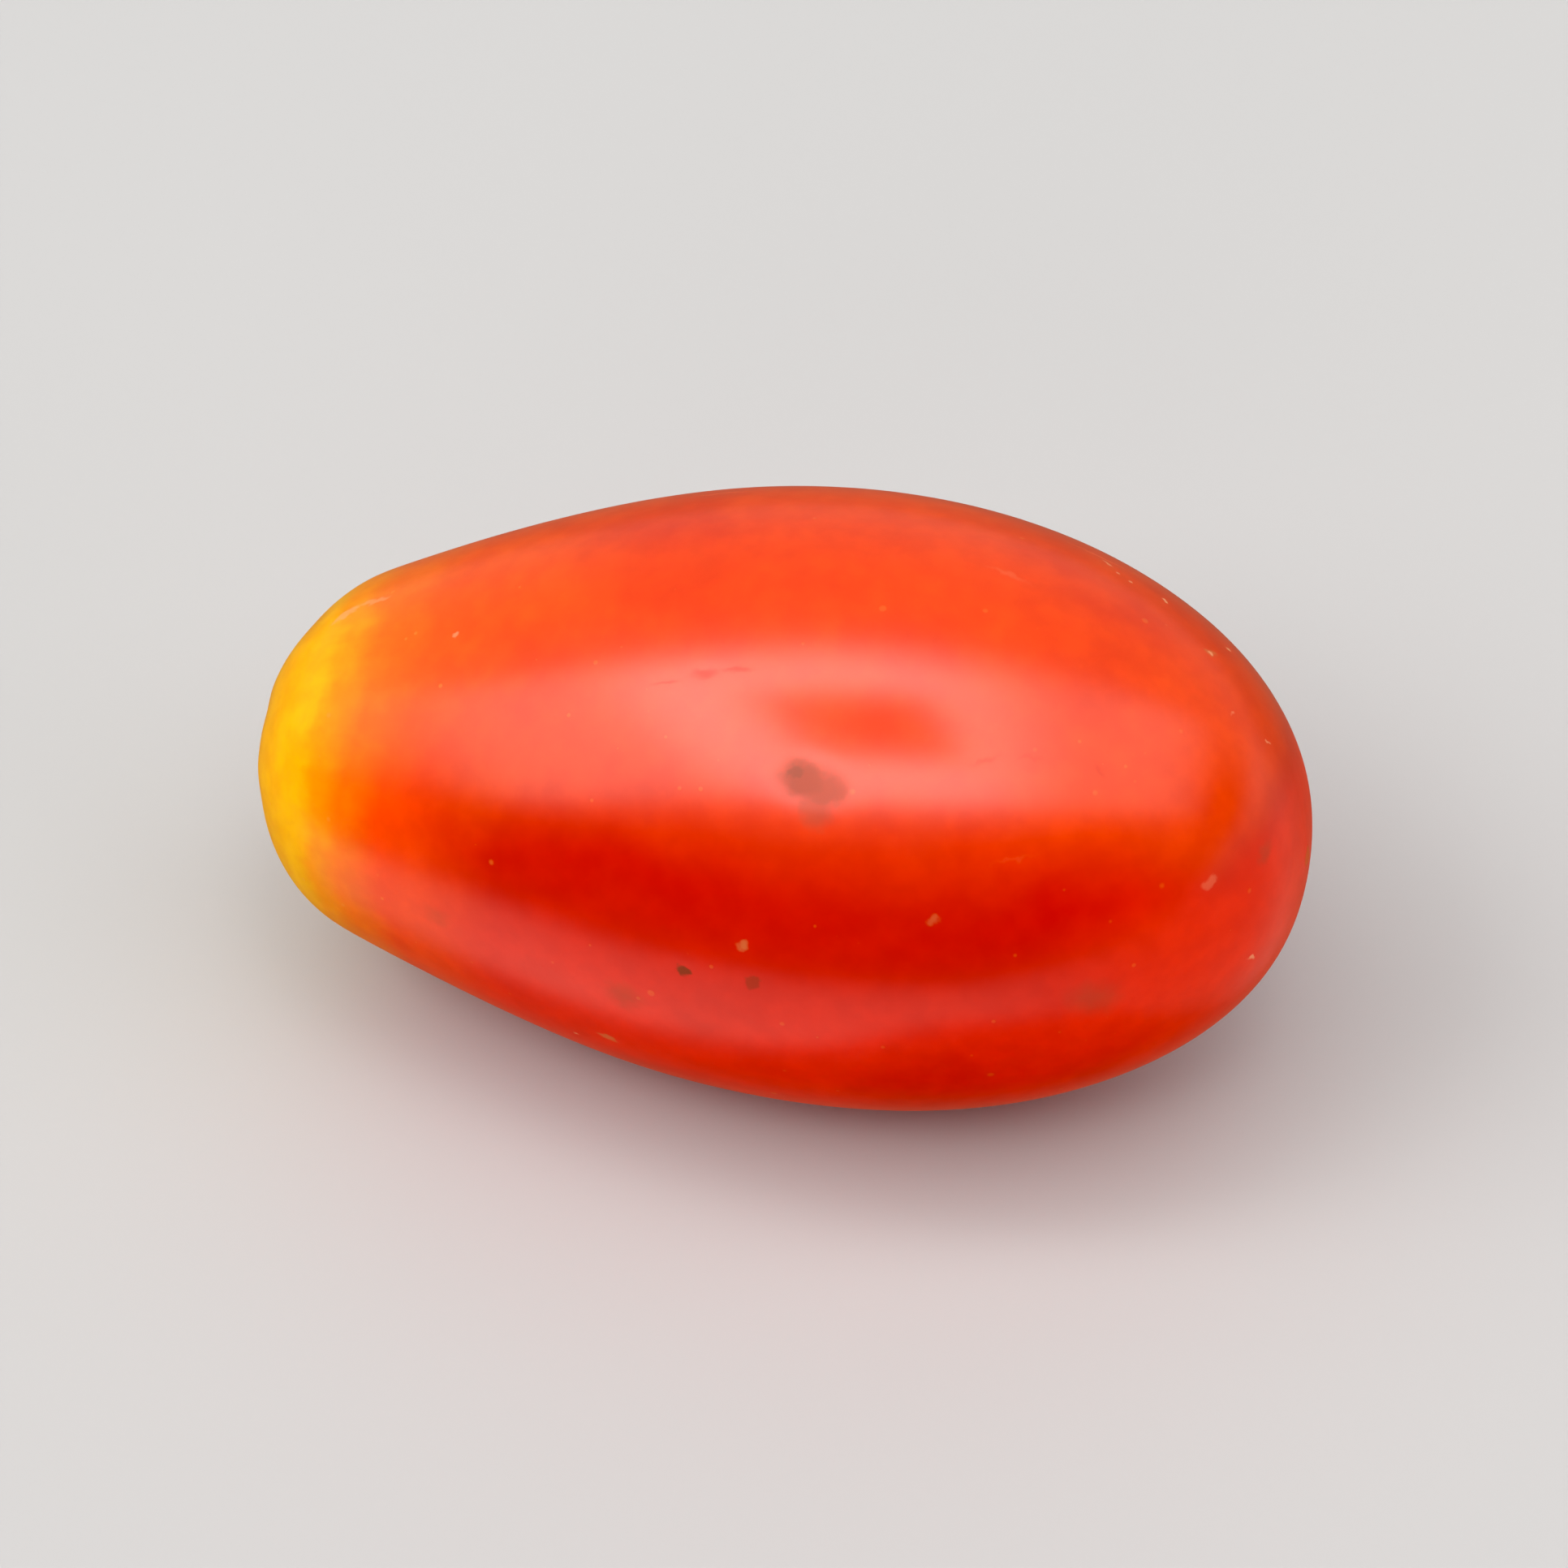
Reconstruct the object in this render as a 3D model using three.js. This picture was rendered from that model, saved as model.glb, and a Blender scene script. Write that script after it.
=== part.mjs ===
// A mini plum tomato, picked, with its stalk gone, lying on its side as it comes to rest on a table.
//
// The fruit is one body. Its skin is a meridian turned about the fruit's own axis: a corky stem scar
// with a thin raised lip, a shallow hollow round it, a blunt shoulder, a nearly straight flank that
// widens past the middle, and a round blossom end with the small mark that the flower left. It is
// then grown out of true, as fruit is: a little broader one way than the other, faintly three-sided,
// slightly bent, and with a stem end that isn't square to the axis. Last, it is laid down in balance.
//
// The part's frame is +Z up with the table at Z = 0, and its origin is on the table under the middle
// of the fruit. The stem end points to -X and the blossom end to +X.
import * as THREE from "three";
import { mergeVertices } from "three/addons/utils/BufferGeometryUtils.js";

// Driving dimensions, in millimetres unless the name says otherwise.
const LENGTH = 40.5; // stem end to blossom tip, along the fruit's axis
const GIRTH_RADIUS = 11.65; // at the widest section
const WIDEST_AT = 23.1; // from the stem end to the widest section

const SHOULDER_LENGTH = 4; // from the stem end to where the flank starts
const SHOULDER_RADIUS = 7.1; // where the flank starts
const SHOULDER_BLUNTNESS = 3.6; // radius out to which the stem end stays square to the axis
const SHOULDER_TURN = 2.5; // pull of the flank's direction back into the shoulder
const FLANK_ANGLE_DEG = 22; // between the flank's start and the axis
const FLANK_RUN = 9; // how far the flank keeps straight
const WIDEST_RUN_BACK = 5.8; // how far the widest section's straightness reaches towards the stem
const WIDEST_RUN_ON = 8.8; // how far it reaches towards the blossom end
const BLOSSOM_BLUNTNESS = 7.4; // radius out to which the blossom end stays square to the axis

const HOLLOW_RADIUS = 1.9; // ring where the skin turns over from the shoulder into the hollow
const HOLLOW_DEPTH = 0.34; // of the skin beside the scar, below that ring
const SCAR_RADIUS = 1.05; // corky disc where the stalk broke off
const SCAR_SINK = 0.16; // of the disc's middle, below the skin beside it
const LIP_WIDTH = 0.24; // thin skin that curls up round the disc
const LIP_HEIGHT = 0.1;

const TIP_RADIUS = 0.45; // mark that the flower left
const TIP_HEIGHT = 0.12;

const BROADENING = 0.011; // share of the radius by which the sides stand out and the top draws in
const TRIANGULARITY = 0.009; // share of the radius in the three-sided swelling
const TRIANGLE_ROLL_DEG = 40; // where the first of the three swellings stands, from +Y towards +Z
const BEND = 0.35; // bow of the axis at mid length
const BEND_ROLL_DEG = 40; // direction of the bow, from +Y towards +Z
const STEM_LEAN_DEG = 4; // of the stem end, out of square to the axis
const LEAN_ROLL_DEG = -60; // direction that the stem end leans, from +Y towards +Z
const LEAN_REACH = 7; // how far along the axis the lean dies out

const REST_FLAT_DEPTH = 0.32; // how much the skin gives where it lies on the table
const REST_CLING = 0.08; // how far off the table the skin round the flat is still drawn down onto it

// Mesh resolution.
const SECTORS = 64;
const SCAR_STEPS = 3;
const LIP_STEPS = 4;
const HOLLOW_STEPS = 3;
const SHOULDER_STEPS = 8;
const FLANK_STEPS = 12;
const BLOSSOM_STEPS = 13;
const TIP_STEPS = 2;

const DOWN = new THREE.Vector3(0, 0, -1);
const ROLL_AXIS = new THREE.Vector3(1, 0, 0);
const PITCH_AXIS = new THREE.Vector3(0, 1, 0);
const LIE_SEARCH_STEP_DEG = 4; // first turn tried when the fruit is laid in balance
const LIE_SEARCH_END_DEG = 0.05; // turn that counts as balanced

/** A point of the meridian: radius out from the axis, and distance along it from the stem end. */
const at = (radius, along) => new THREE.Vector2(radius, along);

/** A cubic curve of the meridian through four points. */
const cubic = (...points) => new THREE.CubicBezierCurve(...points);

/** A quadratic curve of the meridian through three points. */
const quadratic = (...points) => new THREE.QuadraticBezierCurve(...points);

/** The skin of the stem end: the sunk disc, the lip round it, and the hollow out to its ring. */
function stemEnd() {
  const lipFoot = SCAR_RADIUS + LIP_WIDTH;
  const sunk = HOLLOW_DEPTH + SCAR_SINK;
  const discEdge = at(SCAR_RADIUS, HOLLOW_DEPTH);
  const lipEdge = at(lipFoot, HOLLOW_DEPTH);
  const lipPeak = at(SCAR_RADIUS + LIP_WIDTH / 2, HOLLOW_DEPTH - 2 * LIP_HEIGHT);
  const ring = at(HOLLOW_RADIUS, 0);
  const wallMiddle = (lipFoot + HOLLOW_RADIUS) / 2;
  return [
    [quadratic(at(0, sunk), at(SCAR_RADIUS * 0.7, sunk), discEdge), SCAR_STEPS],
    [quadratic(discEdge, lipPeak, lipEdge), LIP_STEPS],
    [
      cubic(lipEdge, at(wallMiddle, HOLLOW_DEPTH), at(wallMiddle, 0), ring),
      HOLLOW_STEPS,
    ],
  ];
}

/** The skin from the stem end's ring, over the shoulder and along the flank, to the widest section. */
function stemHalf() {
  const flankAngle = THREE.MathUtils.degToRad(FLANK_ANGLE_DEG);
  const along = at(Math.sin(flankAngle), Math.cos(flankAngle));
  const ring = at(HOLLOW_RADIUS, 0);
  const flankStart = at(SHOULDER_RADIUS, SHOULDER_LENGTH);
  const shoulderPull = flankStart.clone().addScaledVector(along, -SHOULDER_TURN);
  const flankPull = flankStart.clone().addScaledVector(along, FLANK_RUN);
  const widest = at(GIRTH_RADIUS, WIDEST_AT);
  const widestPull = at(GIRTH_RADIUS, WIDEST_AT - WIDEST_RUN_BACK);
  return [
    [
      cubic(ring, at(SHOULDER_BLUNTNESS, 0), shoulderPull, flankStart),
      SHOULDER_STEPS,
    ],
    [cubic(flankStart, flankPull, widestPull, widest), FLANK_STEPS],
  ];
}

/** The skin from the widest section, round the blossom end, to its tip. */
function blossomHalf() {
  const widest = at(GIRTH_RADIUS, WIDEST_AT);
  const widestPull = at(GIRTH_RADIUS, WIDEST_AT + WIDEST_RUN_ON);
  const tipFoot = LENGTH - TIP_HEIGHT;
  const tipEdge = at(TIP_RADIUS, tipFoot);
  return [
    [
      cubic(widest, widestPull, at(BLOSSOM_BLUNTNESS, tipFoot), tipEdge),
      BLOSSOM_STEPS,
    ],
    [quadratic(tipEdge, at(TIP_RADIUS / 2, LENGTH), at(0, LENGTH)), TIP_STEPS],
  ];
}

/** The meridian's curves as one row of points, from the scar to the tip. */
function meridianPoints() {
  const points = [];
  for (const [curve, steps] of [...stemEnd(), ...stemHalf(), ...blossomHalf()])
    points.push(...curve.getPoints(steps).slice(points.length ? 1 : 0));
  return points;
}

/** Calls change(point) on each vertex of a geometry and writes the point back. */
function moveVertices(geometry, change) {
  const positions = geometry.getAttribute("position");
  const point = new THREE.Vector3();
  for (let i = 0; i < positions.count; i++) {
    change(point.fromBufferAttribute(positions, i));
    positions.setXYZ(i, point.x, point.y, point.z);
  }
}

/** The unit vector across the axis at a roll angle from +Y towards +Z. */
function across(rollDeg) {
  const roll = THREE.MathUtils.degToRad(rollDeg);
  return new THREE.Vector3(0, Math.cos(roll), Math.sin(roll));
}

/** The true turned skin, closed, with its axis along +X from the stem end at X = 0. */
function turnedSkin() {
  const lathe = new THREE.LatheGeometry(meridianPoints(), SECTORS);
  lathe.deleteAttribute("normal");
  lathe.deleteAttribute("uv");
  lathe.rotateZ(-Math.PI / 2);
  return mergeVertices(lathe, 1e-4);
}

/** Takes the skin out of true: broader, three-sided, bent, and with its stem end out of square. */
function growOutOfTrue(skin) {
  const triangleRoll = THREE.MathUtils.degToRad(TRIANGLE_ROLL_DEG);
  const bow = across(BEND_ROLL_DEG).multiplyScalar(BEND);
  const leanSlope = Math.tan(THREE.MathUtils.degToRad(STEM_LEAN_DEG));
  const lean = across(LEAN_ROLL_DEG).multiplyScalar(leanSlope);
  moveVertices(skin, (point) => {
    const share = THREE.MathUtils.clamp(point.x / LENGTH, 0, 1);
    const belly = 4 * share * (1 - share);
    const roll = Math.atan2(point.z, point.y);
    const swelling =
      BROADENING * Math.cos(2 * roll) +
      TRIANGULARITY * Math.cos(3 * (roll - triangleRoll));
    const stemShare = Math.exp(-((point.x / LEAN_REACH) ** 2));
    point.x += (point.y * lean.y + point.z * lean.z) * stemShare;
    point.y *= 1 + swelling * belly;
    point.z *= 1 + swelling * belly;
    point.addScaledVector(bow, belly);
  });
}

/** The middle of a closed mesh's volume. */
function centroid(skin) {
  const positions = skin.getAttribute("position");
  const corners = [
    new THREE.Vector3(),
    new THREE.Vector3(),
    new THREE.Vector3(),
  ];
  const [a, b, c] = corners;
  const sum = new THREE.Vector3();
  let volume = 0;
  for (let i = 0; i < skin.index.count; i += 3) {
    corners.forEach((corner, k) =>
      corner.fromBufferAttribute(positions, skin.index.getX(i + k)),
    );
    const share = a.dot(new THREE.Vector3().crossVectors(b, c)) / 6;
    volume += share;
    sum.addScaledVector(a.clone().add(b).add(c), share / 4);
  }
  return sum.divideScalar(volume);
}

/** How far the skin reaches from the origin in a direction. */
function reach(skin, direction) {
  const positions = skin.getAttribute("position");
  const point = new THREE.Vector3();
  let furthest = -Infinity;
  for (let i = 0; i < positions.count; i++)
    furthest = Math.max(furthest, point.fromBufferAttribute(positions, i).dot(direction));
  return furthest;
}

/**
 * The side that a skin rests on, when its centroid is at the origin: the direction near -Z in which
 * it reaches least.
 */
function restingSide(skin) {
  let side = DOWN.clone();
  let least = reach(skin, side);
  let turn = LIE_SEARCH_STEP_DEG;
  while (turn > LIE_SEARCH_END_DEG) {
    const angle = THREE.MathUtils.degToRad(turn);
    const tries = [
      side.clone().applyAxisAngle(ROLL_AXIS, angle),
      side.clone().applyAxisAngle(ROLL_AXIS, -angle),
      side.clone().applyAxisAngle(PITCH_AXIS, angle),
      side.clone().applyAxisAngle(PITCH_AXIS, -angle),
    ];
    const better = tries.find((tried) => reach(skin, tried) < least);
    if (better) {
      side = better;
      least = reach(skin, side);
    } else turn /= 2;
  }
  return side;
}

/** Lays the skin down in balance on the table, and flattens it where it touches. */
function layDown(skin) {
  const middle = centroid(skin);
  skin.translate(-middle.x, -middle.y, -middle.z);
  const turn = new THREE.Quaternion();
  skin.applyQuaternion(turn.setFromUnitVectors(restingSide(skin), DOWN));
  skin.computeBoundingBox();
  const table = skin.boundingBox.min.z + REST_FLAT_DEPTH;
  moveVertices(skin, (point) => {
    if (point.z < table + REST_CLING) point.z = table;
  });
  const centre = skin.boundingBox.getCenter(new THREE.Vector3());
  skin.translate(-centre.x, -centre.y, -table);
}

/** The whole fruit as one mesh. */
function tomato() {
  const skin = turnedSkin();
  growOutOfTrue(skin);
  layDown(skin);
  const flesh = new THREE.MeshStandardMaterial({
    color: 0xd92405,
    roughness: 0.28,
    metalness: 0,
  });
  const mesh = new THREE.Mesh(skin, flesh);
  mesh.name = "tomato";
  return mesh;
}

const part = new THREE.Group();
part.add(tomato());

export default part;
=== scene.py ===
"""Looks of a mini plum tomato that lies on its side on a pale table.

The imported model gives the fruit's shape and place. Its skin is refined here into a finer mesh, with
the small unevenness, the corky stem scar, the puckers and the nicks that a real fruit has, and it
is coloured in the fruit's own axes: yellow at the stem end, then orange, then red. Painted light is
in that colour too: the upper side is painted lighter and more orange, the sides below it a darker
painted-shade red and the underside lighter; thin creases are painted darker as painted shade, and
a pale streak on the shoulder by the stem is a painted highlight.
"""

import logging
import math
from dataclasses import dataclass
from enum import Enum
from typing import Any

import bmesh
import bpy
from mathutils import Matrix, Vector, noise
from mathutils.bvhtree import BVHTree


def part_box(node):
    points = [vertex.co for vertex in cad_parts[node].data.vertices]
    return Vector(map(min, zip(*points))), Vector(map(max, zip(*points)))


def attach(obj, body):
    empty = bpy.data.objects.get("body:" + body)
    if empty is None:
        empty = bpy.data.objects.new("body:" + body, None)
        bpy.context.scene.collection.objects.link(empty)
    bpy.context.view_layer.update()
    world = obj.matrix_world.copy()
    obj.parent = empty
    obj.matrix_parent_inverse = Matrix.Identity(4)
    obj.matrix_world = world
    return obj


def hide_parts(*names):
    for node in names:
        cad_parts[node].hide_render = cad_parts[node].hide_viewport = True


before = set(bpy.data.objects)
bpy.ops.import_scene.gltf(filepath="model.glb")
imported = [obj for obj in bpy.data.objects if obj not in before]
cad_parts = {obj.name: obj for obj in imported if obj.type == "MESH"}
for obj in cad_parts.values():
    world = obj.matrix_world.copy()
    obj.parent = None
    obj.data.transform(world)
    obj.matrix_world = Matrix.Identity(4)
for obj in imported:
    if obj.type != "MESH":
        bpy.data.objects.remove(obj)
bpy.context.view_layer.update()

MM = 0.001
BODY = "root"
NODE = "tomato"
BLACK_POINT = 0.018
RIG_TURN = 6.0

Colour = tuple[float, float, float]
Span = tuple[float, float]
WHITE: Colour = (1.0, 1.0, 1.0)
log = logging.getLogger("tomato")


def ease(value: float, low: float, high: float) -> float:
    """Rises smoothly from 0 to 1 as a value goes from low to high.

    Args:
        value: The value to judge.
        low: Where the rise starts.
        high: Where it ends. It may be less than low, which makes it a fall.

    Returns:
        A share from 0 to 1.
    """
    share = min(max((value - low) / (high - low), 0.0), 1.0)
    return share * share * (3.0 - 2.0 * share)


def heading(azimuth: float, elevation: float) -> Vector:
    """Gives the way from the fruit to something round it.

    Args:
        azimuth: Degrees from the -Y side towards +X.
        elevation: Degrees above the table.

    Returns:
        A vector of length 1.
    """
    turn, rise = math.radians(azimuth), math.radians(elevation)
    return Vector((math.sin(turn) * math.cos(rise), -math.cos(turn) * math.cos(rise), math.sin(rise)))


@dataclass(frozen=True)
class FruitAxes:
    """The fruit's own axes: zero in the stem scar, X to the blossom end and Z as near up as can be."""

    stem: Vector
    blossom: Vector

    @property
    def length(self) -> float:
        """Distance from the stem scar to the blossom tip, in millimetres."""
        return (self.blossom - self.stem).length / MM

    def turn(self) -> Matrix:
        """Works out how the fruit's axes are turned.

        Returns:
            The rotation from the row's axes to the fruit's.
        """
        along = (self.blossom - self.stem).normalized()
        across = Vector((0.0, 0.0, 1.0)).cross(along).normalized()
        return Matrix((along, across, along.cross(across)))

    def enter(self, point: Vector) -> Vector:
        """Gives a point of the row in the fruit's axes.

        Args:
            point: A place in the row's frame, in metres.

        Returns:
            The same place in the fruit's axes, in millimetres.
        """
        return self.turn() @ (point - self.stem) / MM

    def leave(self, point: Vector) -> Vector:
        """Gives a point of the fruit in the row's frame.

        Args:
            point: A place in the fruit's axes, in millimetres.

        Returns:
            The same place in the row's frame, in metres.
        """
        return self.turn().transposed() @ point * MM + self.stem


class Blemish(Enum):
    """What sort of mark a spot on the skin is."""

    SMUDGE = "smudge"
    STAIN = "stain"
    SPECK = "speck"
    FLECK = "fleck"
    SCUFF = "scuff"
    # Pale nicks, and a painted highlight on the shoulder by the stem.
    NICK_AND_HIGHLIGHT = "nick"
    SHADED_CREASE = "crease"


@dataclass(frozen=True)
class BlemishFinish:
    """How one sort of mark looks.

    Attributes:
        colour: Its own colour.
        cover: How much of the skin's colour it hides, from 0 to 1.
        dulling: How much it roughens the skin, from 0 to 1.
        edge: Share of its radius over which it fades out.
    """

    colour: Colour
    cover: float
    dulling: float
    edge: float


BLEMISH_FINISHES: dict[Blemish, BlemishFinish] = {
    Blemish.SMUDGE: BlemishFinish((0.25, 0.075, 0.042), 0.62, 0.6, 0.62),
    Blemish.STAIN: BlemishFinish((0.3, 0.07, 0.03), 0.5, 0.3, 1.0),
    Blemish.SPECK: BlemishFinish((0.13, 0.04, 0.012), 0.85, 0.5, 0.5),
    Blemish.FLECK: BlemishFinish((0.6, 0.19, 0.055), 0.6, 0.4, 0.7),
    Blemish.SCUFF: BlemishFinish((0.85, 0.26, 0.12), 0.36, 0.4, 0.9),
    # Pale nicks; this pale finish also paints a highlight streak on the shoulder by the stem.
    Blemish.NICK_AND_HIGHLIGHT: BlemishFinish((0.95, 0.42, 0.2), 0.75, 0.3, 0.6),
    # Creases: their darker red is painted shade; their shallow dents and duller finish are real relief and
    # roughness.
    Blemish.SHADED_CREASE: BlemishFinish((0.5, 0.012, 0.006), 0.5, 0.35, 0.8),
}


@dataclass(frozen=True)
class Mark:
    """One spot on the skin, in the fruit's axes.

    Attributes:
        sort: What it is.
        along: Distance from the stem scar, in millimetres.
        roll: Angle round the fruit from its +Y towards its +Z, in degrees.
        length: Its longer side, in millimetres.
        width: Its shorter side, in millimetres.
        lean: Angle of the longer side from the fruit's axis, in degrees.
        dent: How far it is pressed in, in millimetres.
        strength: How much of its sort's look it has, from 0 to 1.
    """

    sort: Blemish
    along: float
    roll: float
    length: float
    width: float
    lean: float = 0.0
    dent: float = 0.0
    strength: float = 1.0


MARKS: tuple[Mark, ...] = (
    Mark(Blemish.SMUDGE, 23.1, 131.0, 2.7, 2.0, lean=-10.0, dent=0.025),
    Mark(Blemish.SMUDGE, 23.9, 132.6, 2.4, 1.8, lean=20.0, dent=0.015, strength=0.85),
    Mark(Blemish.SMUDGE, 23.6, 135.2, 1.8, 2.4, strength=0.6),
    Mark(Blemish.STAIN, 33.8, 177.0, 3.2, 2.4, lean=-20.0, strength=0.7),
    Mark(Blemish.STAIN, 16.2, 180.8, 2.3, 2.1, strength=0.75),
    Mark(Blemish.STAIN, 8.4, 176.0, 1.8, 1.4, strength=0.5),
    Mark(Blemish.STAIN, 39.05, 135.3, 1.5, 1.1, lean=60.0, strength=0.7),
    Mark(Blemish.STAIN, 26.0, 300.0, 3.0, 2.0, lean=50.0, strength=0.7),
    Mark(Blemish.STAIN, 30.5, 20.0, 2.4, 1.6, lean=-30.0, strength=0.6),
    Mark(Blemish.SPECK, 22.7, 130.0, 0.8, 0.6, lean=20.0, strength=0.35),
    Mark(Blemish.SPECK, 18.7, 171.1, 0.85, 0.65, lean=-20.0, dent=0.02, strength=0.9),
    Mark(Blemish.SPECK, 21.5, 171.3, 0.75, 0.65, dent=0.01, strength=0.5),
    Mark(Blemish.SPECK, 11.4, 262.0, 0.5, 0.4, dent=0.02),
    Mark(Blemish.SPECK, 27.5, 38.0, 0.45, 0.4, dent=0.02),
    Mark(Blemish.FLECK, 21.1, 163.7, 0.66, 0.6, lean=20.0),
    Mark(Blemish.FLECK, 28.2, 155.4, 0.6, 0.6, strength=0.6),
    Mark(Blemish.FLECK, 15.0, 198.1, 1.0, 0.5, lean=-12.0),
    Mark(Blemish.FLECK, 36.0, 67.6, 0.8, 0.42, lean=62.0),
    Mark(Blemish.NICK_AND_HIGHLIGHT, 37.5, 147.1, 0.8, 0.6, lean=15.0, strength=0.22),
    Mark(Blemish.FLECK, 23.0, 15.0, 0.7, 0.4, lean=25.0),
    Mark(Blemish.FLECK, 30.0, 330.0, 0.6, 0.5),
    Mark(Blemish.FLECK, 17.0, 345.0, 0.6, 0.45, lean=40.0),
    Mark(Blemish.NICK_AND_HIGHLIGHT, 36.0, 68.0, 0.34, 0.22, lean=62.0, dent=-0.01, strength=0.8),
    Mark(Blemish.NICK_AND_HIGHLIGHT, 36.3, 54.8, 0.42, 0.28, lean=62.0),
    Mark(Blemish.NICK_AND_HIGHLIGHT, 33.9, 59.3, 0.4, 0.3, dent=-0.01),
    Mark(Blemish.NICK_AND_HIGHLIGHT, 32.6, 61.5, 0.3, 0.24, strength=0.7),
    Mark(Blemish.NICK_AND_HIGHLIGHT, 32.0, 59.8, 0.34, 0.2, strength=0.7),
    Mark(Blemish.NICK_AND_HIGHLIGHT, 31.5, 57.4, 0.6, 0.2, lean=-10.0, strength=0.7),
    Mark(Blemish.NICK_AND_HIGHLIGHT, 37.3, 84.7, 0.34, 0.26, lean=60.0, strength=0.45),
    Mark(Blemish.NICK_AND_HIGHLIGHT, 38.5, 80.0, 0.28, 0.24, strength=0.7),
    Mark(Blemish.NICK_AND_HIGHLIGHT, 38.7, 194.1, 0.7, 0.3, lean=-50.0, strength=0.8),
    Mark(Blemish.NICK_AND_HIGHLIGHT, 8.2, 103.2, 0.42, 0.32, lean=20.0, strength=0.6),
    Mark(Blemish.NICK_AND_HIGHLIGHT, 13.5, 202.7, 0.4, 0.26, lean=-10.0, strength=0.7),
    Mark(Blemish.NICK_AND_HIGHLIGHT, 19.0, 330.0, 0.34, 0.26),
    Mark(Blemish.NICK_AND_HIGHLIGHT, 33.0, 250.0, 0.4, 0.3, strength=0.8),
    Mark(Blemish.SCUFF, 31.3, 55.0, 3.8, 0.3, lean=4.0),
    Mark(Blemish.SCUFF, 28.7, 80.0, 2.4, 0.4, lean=-8.0, strength=0.5),
    Mark(Blemish.SCUFF, 16.5, 60.5, 3.4, 0.3, lean=6.0),
    Mark(Blemish.SCUFF, 12.0, 20.0, 3.0, 0.3, lean=18.0, strength=0.6),
    Mark(Blemish.SCUFF, 30.9, 142.1, 2.2, 0.24, lean=14.0, strength=0.2),
    # These two pale streaks on the shoulder by the stem are a painted highlight, not nicks.
    Mark(Blemish.NICK_AND_HIGHLIGHT, 2.9, 87.6, 1.8, 0.5, lean=34.0, strength=0.55),
    Mark(Blemish.NICK_AND_HIGHLIGHT, 4.0, 85.2, 1.6, 0.45, lean=4.0, strength=0.45),
    # Thin creases near the top: darker red painted into them as painted shade, over shallow dents in most
    # of them.
    Mark(Blemish.SHADED_CREASE, 17.2, 115.5, 1.6, 0.2, lean=12.0, dent=0.01, strength=0.7),
    Mark(Blemish.SHADED_CREASE, 18.7, 113.3, 1.6, 0.62, lean=12.0, dent=0.012, strength=0.8),
    Mark(Blemish.SHADED_CREASE, 19.9, 112.0, 1.7, 0.24, lean=8.0, dent=0.008, strength=0.7),
    Mark(Blemish.SHADED_CREASE, 29.5, 122.8, 1.9, 0.3, lean=24.0, dent=0.008, strength=0.5),
    Mark(Blemish.SHADED_CREASE, 31.0, 120.8, 1.6, 0.26, lean=12.0, strength=0.4),
    Mark(Blemish.SHADED_CREASE, 33.5, 120.2, 0.9, 0.3, lean=-50.0, strength=0.5),
)


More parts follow.
